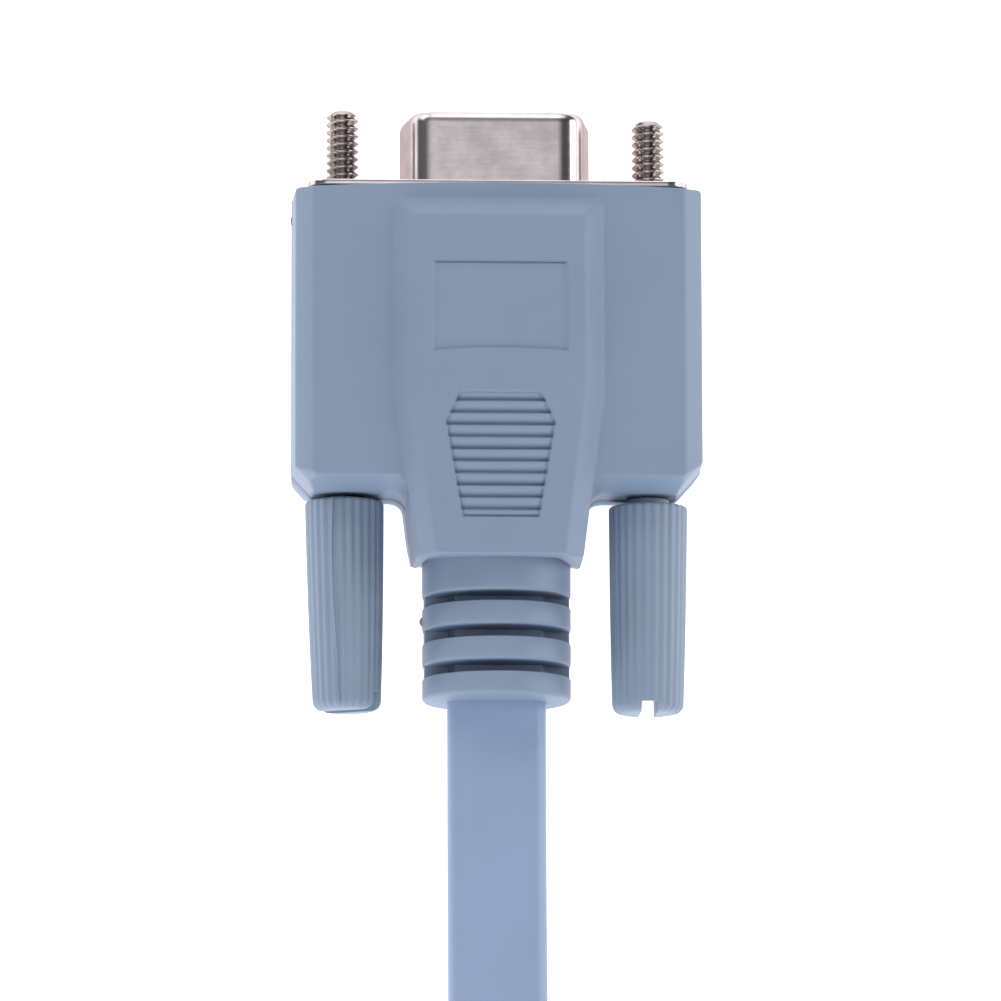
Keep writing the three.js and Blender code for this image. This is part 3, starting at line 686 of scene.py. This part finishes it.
hood_pvc = moulded_plastic("hood_moulding", (0.224, 0.297, 0.412), 0.5, 0.25, 700.0)
hood_mesh = joined(
    "hood_moulding",
    [
        grid_mesh("wings", at_connector(wings)),
        grid_mesh("centre", at_connector(raised_centre())),
        grid_mesh("relief", at_connector(strain_relief())),
        grid_mesh("hood_speck", at_connector(flash_speck(-16.5, -2.35, 0.24, 0.5, 0.15))),
        grid_mesh("relief_speck", at_connector(flash_speck(-6.0, -35.3, 0.25, 0.38, 0.2))),
    ],
)
hood = in_scene("hood_moulding", hood_mesh, hood_pvc, sharp=math.radians(55))
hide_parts("hood")


# ---------------------------------------------------------------- metal shell
# The collar is drawn from its flange out of thin steel sheet and plated with nickel. The plate lies
# against the hood's front, held by the moulding, and its ends are folded back over the edge.

COLLAR_HALF = 16.33 / 2
COLLAR_HIGH = 7.9 / 2
COLLAR_ANGLE = math.radians(10)
SHEET = 0.45


def collar_ring(inset, count=14):
    """The D outline moved inwards by an inset, with round corners, as rows of x, z."""
    tan, across_side = math.tan(COLLAR_ANGLE), inset / math.cos(COLLAR_ANGLE)
    low, high = -COLLAR_HIGH + inset, COLLAR_HIGH - inset
    wide = COLLAR_HALF - inset * tan - across_side
    narrow = COLLAR_HALF - (2 * COLLAR_HIGH - inset) * tan - across_side
    corners = [(-wide, low), (wide, low), (narrow, high), (-narrow, high)]
    radius = max(2.3 - inset, 0.4)
    return closed_outline(corners, [radius] * 4, [20, 6, 20, 6], count)


def collar():
    """The D outline carried along a profile of inset and y: fillet, wall, round lip, inner wall."""
    profile = [(-0.32, -0.05), (-0.3, 0.02), (-0.2, 0.04), (-0.1, 0.09), (-0.03, 0.17)]
    profile += [(0.0, 0.28), (0.0, 0.4), (0.0, 2.0), (0.0, 4.0), (0.0, 5.2)]
    lip = np.radians(np.linspace(0, 90, 7))
    profile += [(0.5 * (1 - math.cos(a)), 5.37 + 0.75 * math.sin(a)) for a in lip]
    profile += [(0.53, 6.05), (0.5, 5.85), (0.45, 5.5), (0.45, 3.0), (0.45, -0.3)]
    rows = []
    for inset, y in profile:
        ring = collar_ring(inset)
        rows.append(np.column_stack([ring[:, 0], np.full(len(ring), y), ring[:, 1]]))
    return np.array(rows)


def plated_steel(name, colour, roughness):
    """Nickel plate: dull cloudy patches with uneven gloss, and fine scratches along the sheet."""
    material = bpy.data.materials.new(name)
    material.use_nodes = True
    tree = material.node_tree
    shader = tree.nodes["Principled BSDF"]
    shader.inputs["Metallic"].default_value = 1.0
    shader.inputs["Specular Tint"].default_value = (0.52, 0.45, 0.43, 1)
    place = tree.nodes.new("ShaderNodeTexCoord")
    patches = tree.nodes.new("ShaderNodeTexNoise")
    patches.inputs["Scale"].default_value = 420.0
    patches.inputs["Detail"].default_value = 5.0
    patches.inputs["Roughness"].default_value = 0.6
    tree.links.new(place.outputs["Object"], patches.inputs["Vector"])
    tone = tree.nodes.new("ShaderNodeValToRGB")
    tone.color_ramp.elements[0].position = 0.3
    tone.color_ramp.elements[0].color = [c * 0.8 for c in colour] + [1]
    tone.color_ramp.elements[1].position = 0.65
    tone.color_ramp.elements[1].color = list(colour) + [1]
    tree.links.new(patches.outputs["Fac"], tone.inputs["Fac"])
    tree.links.new(tone.outputs["Color"], shader.inputs["Base Color"])
    gloss = tree.nodes.new("ShaderNodeMapRange")
    gloss.inputs["To Min"].default_value = roughness + 0.1
    gloss.inputs["To Max"].default_value = roughness - 0.05
    tree.links.new(patches.outputs["Fac"], gloss.inputs["Value"])
    tree.links.new(gloss.outputs["Result"], shader.inputs["Roughness"])
    stretch = tree.nodes.new("ShaderNodeMapping")
    stretch.inputs["Scale"].default_value = (350.0, 3500.0, 1800.0)
    tree.links.new(place.outputs["Object"], stretch.inputs["Vector"])
    scratch = tree.nodes.new("ShaderNodeTexNoise")
    scratch.inputs["Scale"].default_value = 1.0
    scratch.inputs["Detail"].default_value = 3.0
    tree.links.new(stretch.outputs["Vector"], scratch.inputs["Vector"])
    relief = tree.nodes.new("ShaderNodeBump")
    relief.inputs["Strength"].default_value = 0.07
    relief.inputs["Distance"].default_value = 0.00004
    tree.links.new(scratch.outputs["Fac"], relief.inputs["Height"])
    tree.links.new(relief.outputs["Normal"], shader.inputs["Normal"])
    return material


nickel = plated_steel("nickel_plate", (0.65, 0.6, 0.625), 0.19)


def cut_sheet(name, outlines, low_y, high_y, edge):
    """A plate in the XZ plane with holes: filled outlines, thickened along y with rounded edges."""
    curve = bpy.data.curves.new(name, "CURVE")
    curve.dimensions = "2D"
    curve.fill_mode = "BOTH"
    curve.extrude = (high_y - low_y) / 2 - edge
    curve.bevel_depth = edge
    curve.bevel_resolution = 2
    curve.offset = -edge
    for outline in outlines:
        spline = curve.splines.new("POLY")
        spline.points.add(len(outline) - 1)
        flat = np.zeros((len(outline), 4))
        flat[:, :2] = outline
        spline.points.foreach_set("co", flat.ravel())
        spline.use_cyclic_u = True
    drawn = bpy.data.objects.new(name, curve)
    bpy.context.collection.objects.link(drawn)
    graph = bpy.context.evaluated_depsgraph_get()
    mesh = bpy.data.meshes.new_from_object(drawn.evaluated_get(graph))
    bpy.data.objects.remove(drawn)
    bpy.data.curves.remove(curve)
    points = np.empty(len(mesh.vertices) * 3)
    mesh.vertices.foreach_get("co", points)
    points = points.reshape(-1, 3)
    placed = np.column_stack([points[:, 0], (low_y + high_y) / 2 - points[:, 2], points[:, 1]])
    mesh.vertices.foreach_set("co", at_connector(placed).ravel())
    mesh.update()
    return welded(mesh)


def welded(mesh):
    """Merges vertices that lie within a micrometre of each other."""
    shape = bmesh.new()
    shape.from_mesh(mesh)
    bmesh.ops.remove_doubles(shape, verts=shape.verts, dist=1e-6)
    shape.to_mesh(mesh)
    shape.free()
    return mesh


def circle(centre_x, centre_z, radius, count=40):
    """A circle as rows of x, z."""
    a = np.linspace(0, 2 * np.pi, count, endpoint=False)
    return np.column_stack([centre_x + radius * np.cos(a), centre_z + radius * np.sin(a)])


SCREW_X = 24.99 / 2
SCREW_HOLE = 1.55
PLATE_WIDE = 30.81
PLATE_HIGH = 12.55
plate_outline = rounded_rectangle(PLATE_WIDE / 2, PLATE_HIGH / 2, 1.8, 10, 0)
screw_holes = [circle(side * SCREW_X, 0, SCREW_HOLE) for side in (-1, 1)]
flange_mesh = cut_sheet(
    "flange_plate",
    [plate_outline, *screw_holes, collar_ring(0.2)],
    -SHEET,
    0.0,
    0.09,
)


def soft_block(low, high, radius):
    """A box with rounded edges: rounded rectangles across x that draw in at both ends."""
    low, high = np.array(low, float), np.array(high, float)
    middle, half = (low + high) / 2, (high - low) / 2
    turns = np.radians(np.linspace(0, 90, 5))
    stops = [(-half[0] + radius * (1 - math.cos(a)), radius * (1 - math.sin(a))) for a in turns]
    stops += [(-x, inset) for x, inset in stops[::-1]]
    rows = []
    for x, inset in stops:
        ring = rounded_rectangle(half[1] - inset, half[2] - inset, max(radius - inset, 0.01), 5, 0)
        rows.append(np.column_stack([np.full(len(ring), middle[0] + x), ring + middle[1:]]))
    return np.array(rows)


tabs = [
    soft_block((side * 15.18 - 0.22, -1.1, -2.5), (side * 15.18 + 0.22, -0.1, 2.5), 0.1)
    for side in (-1, 1)
]
shell_mesh = joined(
    "nickel_shell",
    [grid_mesh("collar", at_connector(collar()), caps=False), flange_mesh]
    + [grid_mesh("tab", at_connector(tab)) for tab in tabs],
)
shell = in_scene("nickel_shell", shell_mesh, nickel, sharp=math.radians(50))
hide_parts("front_shell")


# ---------------------------------------------------------------- insulator and socket contacts
# A glass-filled block, moulded black, fills the collar. Nine gilt sockets stand in its holes, five
# in the wide row and four in the narrow one.

CONTACT_PITCH = 2.77
ROW_HALF = 1.42
CONTACTS = [((i - 2) * CONTACT_PITCH, -ROW_HALF) for i in range(5)]
CONTACTS += [((i - 1.5) * CONTACT_PITCH, ROW_HALF) for i in range(4)]
black_moulding = moulded_plastic("black_moulding", (0.028, 0.028, 0.032), 0.45, 0.2, 900.0)
block_mesh = cut_sheet(
    "insulator_block",
    [collar_ring(0.6)] + [circle(x, z, 0.76, 28) for x, z in CONTACTS],
    -4.0,
    5.7,
    0.1,
)
block = in_scene("insulator_block", block_mesh, black_moulding)
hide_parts("insulator")

gilt = plated_steel("gilt_contact", (0.83, 0.62, 0.27), 0.25)


def turned(profile, count, name, centre=(0.0, 0.0)):
    """A surface of revolution about a line along y: radius and y from the profile."""
    profile = np.array(profile, float)
    a = np.linspace(0, 2 * np.pi, count, endpoint=False)
    x = centre[0] + profile[:, :1] * np.cos(a)
    z = centre[1] + profile[:, :1] * np.sin(a)
    y = np.broadcast_to(profile[:, 1:], x.shape)
    return grid_mesh(name, at_connector(np.stack([x, y, z], axis=-1)))


for number, centre in enumerate(CONTACTS, 1):
    sleeve = [(0.65, -2.33), (0.65, 5.15), (0.61, 5.22), (0.53, 5.22), (0.49, 5.12), (0.49, 0.3)]
    contact = in_scene(
        f"socket_{number}", turned(sleeve, 24, f"socket_{number}", centre), gilt
    )
    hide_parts(f"contact_{number}")


# ---------------------------------------------------------------- jackscrews
# Steel screws, nickel plated, with a rolled 4-40 thread. They pass through the flange and the hood
# and are held in the moulded grips at the rear.

THREAD_PITCH = 0.635
THREAD_CREST = 1.32
THREAD_DEPTH = 0.38
SHANK_RADIUS = 1.1
HEAD_RADIUS = 1.5


def jackscrew(side, tip_y, turned_by):
    """Radius over angle and y: a V thread that advances a pitch each turn, then the shank."""
    angle = np.linspace(0, 2 * np.pi, 40, endpoint=False)[None, :]
    y = np.arange(tip_y, -2.6, -THREAD_PITCH / 12)[:, None]
    phase = (y / THREAD_PITCH + angle / (2 * np.pi) + turned_by) % 1.0
    ridge = np.clip((1 - 2 * np.abs(phase - 0.5)) * 1.22 - 0.06, 0, 1)
    radius = THREAD_CREST - THREAD_DEPTH * (1 - ridge)
    blunt = THREAD_CREST - 0.55 + (tip_y - y) * 1.3
    radius = np.minimum(radius, np.maximum(blunt, 0.2))
    fade = np.clip((y + 2.6) / 0.6, 0, 1)
    radius = SHANK_RADIUS + (radius - SHANK_RADIUS) * fade
    shank_y = np.array([-2.7, -26.4, -26.5, -27.0, -36.2, -36.35])[:, None]
    head = [HEAD_RADIUS] * 3 + [HEAD_RADIUS - 0.2]
    shank_r = np.array([SHANK_RADIUS, SHANK_RADIUS] + head)[:, None]
    y = np.vstack([y, shank_y])
    radius = np.vstack([radius, np.broadcast_to(shank_r, (6, 40))])
    x = side * SCREW_X + radius * np.cos(angle)
    z = radius * np.sin(angle)
    return at_connector(np.stack([x, np.broadcast_to(y, x.shape), z], axis=-1))


screw_steel = plated_steel("screw_plate", (0.52, 0.475, 0.46), 0.16)
for side, word, tip, turned_by in ((-1, "left", 6.7, 0.1), (1, "right", 6.05, 0.45)):
    screw_mesh = grid_mesh(f"jackscrew_{word}", jackscrew(side, tip, turned_by))
    screw = in_scene(f"jackscrew_{word}", screw_mesh, screw_steel, f"thumbscrew_{word}")
    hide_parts(f"screw_{word}")


# ---------------------------------------------------------------- thumb grips
# PVC grips moulded on the jackscrews, with shallow flutes, a slight taper to the rear, a thin line
# of flash where the mould parts, and a slot for a driver across the rear face.

GRIP_RADIUS = 3.2
GRIP_FLUTES = 26
FLUTE_DEPTH = 0.11
HUB_FRONT = -25.26
HUB_RADIUS = 1.7
SLOT_WIDE = 1.3
SLOT_DEEP = 1.7
SLOT_LEAN = 0.15
grip_pvc = moulded_plastic("grip_moulding", (0.242, 0.313, 0.42), 0.5, 0.25, 700.0)


def grip_surface(side, front_y, long, taper, flash_at, flash_high, shift, lean):
    """Radius over angle and y: cosine flutes on a tapering cylinder, round ends, a flash line."""
    angle = np.linspace(0, 2 * np.pi, GRIP_FLUTES * 10, endpoint=False)
    close = flash_at + np.linspace(-0.07, 0.07, 15)
    angle = np.sort(np.append(angle[np.abs(angle - flash_at) > 0.08], close))[None, :]
    ends = 0.75
    bend = np.radians(np.linspace(0, 90, 6))
    front = front_y - 0.3 * (1 - np.sin(bend))
    rear = front_y - long + ends * (1 - np.sin(bend))
    y = np.concatenate([front[::-1], np.linspace(front[0], rear[0], 34)[1:-1], rear])[:, None]
    drawn_in = 1 - np.cos(bend)
    inset = np.concatenate([0.3 * drawn_in[::-1], np.zeros(32), ends * drawn_in])
    share = (front_y - y) / long
    wander = 0.05 * np.sin(share * 5.0) + 0.1 * np.clip(share - 0.75, 0, 1) * np.sin(share * 30)
    angle = angle + wander
    wave = 0.5 + 0.5 * np.cos(GRIP_FLUTES * angle)
    narrower = 1 - taper * (0.6 * share + 0.4 * share**3)
    radius = GRIP_RADIUS * narrower - inset[:, None] - FLUTE_DEPTH * (1 - wave**0.8)
    off = angle - wander - flash_at
    radius = radius + flash_high * np.exp(-((off / 0.018) ** 2)) * (inset[:, None] < 0.2)
    hub = np.full((2, radius.shape[1]), HUB_RADIUS)
    y = np.vstack([[[HUB_FRONT]], [[front_y]], y])
    radius = np.vstack([hub, radius])
    angle = np.vstack([angle[:1], angle[:1], angle])
    share = np.clip((front_y - y) / long, 0, 1)
    x = side * SCREW_X + shift + radius * np.cos(angle) + lean * share
    z = radius * np.sin(angle)
    return at_connector(np.stack([x, np.broadcast_to(y, x.shape), z], axis=-1))


def slotted(mesh, centre_x, rear_y, slot_angle):
    """Cuts the driver slot: a boolean with a round-edged bar across the rear, its floor leaning."""
    half = SLOT_WIDE / 2
    bar = soft_block((-5.0, -SLOT_DEEP, -half), (5.0, SLOT_DEEP, half), 0.08)
    c, s = math.cos(slot_angle), math.sin(slot_angle)
    x, z = bar[..., 0] * c - bar[..., 2] * s, bar[..., 0] * s + bar[..., 2] * c
    lean = -SLOT_LEAN * np.clip(z + 2.8, 0, None) * s**2
    placed = np.stack([x + centre_x, bar[..., 1] + rear_y + lean, z], axis=-1)
    cutter_mesh = grid_mesh("slot_cutter", at_connector(placed), smooth=False)
    outwards(cutter_mesh)
    outwards(mesh)
    cutter = bpy.data.objects.new("slot_cutter", cutter_mesh)
    body = bpy.data.objects.new("slotted", mesh)
    bpy.context.collection.objects.link(cutter)
    bpy.context.collection.objects.link(body)
    cut = body.modifiers.new("slot", "BOOLEAN")
    cut.object = cutter
    cut.solver = "EXACT"
    graph = bpy.context.evaluated_depsgraph_get()
    done = bpy.data.meshes.new_from_object(body.evaluated_get(graph))
    bpy.data.objects.remove(body)
    bpy.data.objects.remove(cutter)
    bpy.data.meshes.remove(cutter_mesh)
    return done


for side, word, front_y, long, taper, flash_at, flash_high, shift, lean, slot_angle in (
    (-1, "left", -25.5, 17.1, 0.145, math.radians(108), 0.17, 0.16, 0.22, math.radians(27)),
    (1, "right", -25.8, 16.95, 0.1, math.radians(200), 0.05, -0.13, -0.1, math.radians(90)),
):
    smooth_grip = grid_mesh(
        f"thumb_grip_{word}",
        grip_surface(side, front_y, long, taper, flash_at, flash_high, shift, lean),
    )
    grip_mesh = slotted(smooth_grip, side * SCREW_X + shift + lean, front_y - long, slot_angle)
    grip_mesh.materials.clear()
    body = f"thumbscrew_{word}"
    sharp = math.radians(50)
    grip = in_scene(f"thumb_grip_{word}", grip_mesh, grip_pvc, body, sharp)
    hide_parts(f"grip_{word}")


# ---------------------------------------------------------------- hank tie
# A soft black PVC strap wound once round the waist of the hank and closed on itself.

TIE_MIDDLE = HANK_NEAR - HANK_STRAIGHT / 2
TIE_ABOVE_TABLE = 5.1
TIE_OUTER = (16.2, 5.05, 2.2)
TIE_INNER = (15.5, 4.35, 1.6)
TIE_HALF = 3.85
tie_pvc = moulded_plastic("tie_strap", (0.018, 0.018, 0.02), 0.55, 0.3, 600.0)


def strap():
    """Rounded rectangles across y: the outer outline one way, the inner one back, closed."""
    outer = rounded_rectangle(*TIE_OUTER, 10, 10)
    inner = rounded_rectangle(*TIE_INNER, 10, 10)
    rows = []
    turns = ((outer, TIE_HALF), (outer, -TIE_HALF), (inner, -TIE_HALF), (inner, TIE_HALF))
    for outline, edge in turns:
        for y in np.linspace(edge, edge * 0.98, 2):
            rows.append(np.column_stack([outline[:, 0], np.full(len(outline), y), outline[:, 1]]))
    return np.array(rows)


strap_points = (strap() + np.array([0.0, TIE_MIDDLE, TIE_ABOVE_TABLE])) / 1000
strap_mesh = grid_mesh("hank_strap", strap_points, along=True, caps=False)
strap_piece = in_scene("hank_strap", strap_mesh, tie_pvc)
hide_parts("hank_tie")


# ---------------------------------------------------------------- modular plug
# A clear polycarbonate plug crimped on the cable, with a springy latch arm in the same moulding and
# eight gilt blades in its comb of slots.

clear = moulded_plastic("clear_polycarbonate", (0.78, 0.84, 0.88), 0.14, 0.08, 500.0)
clear_shader = clear.node_tree.nodes["Principled BSDF"]
clear_shader.inputs["Transmission Weight"].default_value = 0.8
clear_shader.inputs["IOR"].default_value = 1.58
plug_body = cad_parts["plug_body"]
plug_body.material_slots[0].material = clear
plug_blades = [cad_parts[f"plug_contact_{number}"] for number in range(1, 9)]
for blade in plug_blades:
    blade.material_slots[0].material = gilt
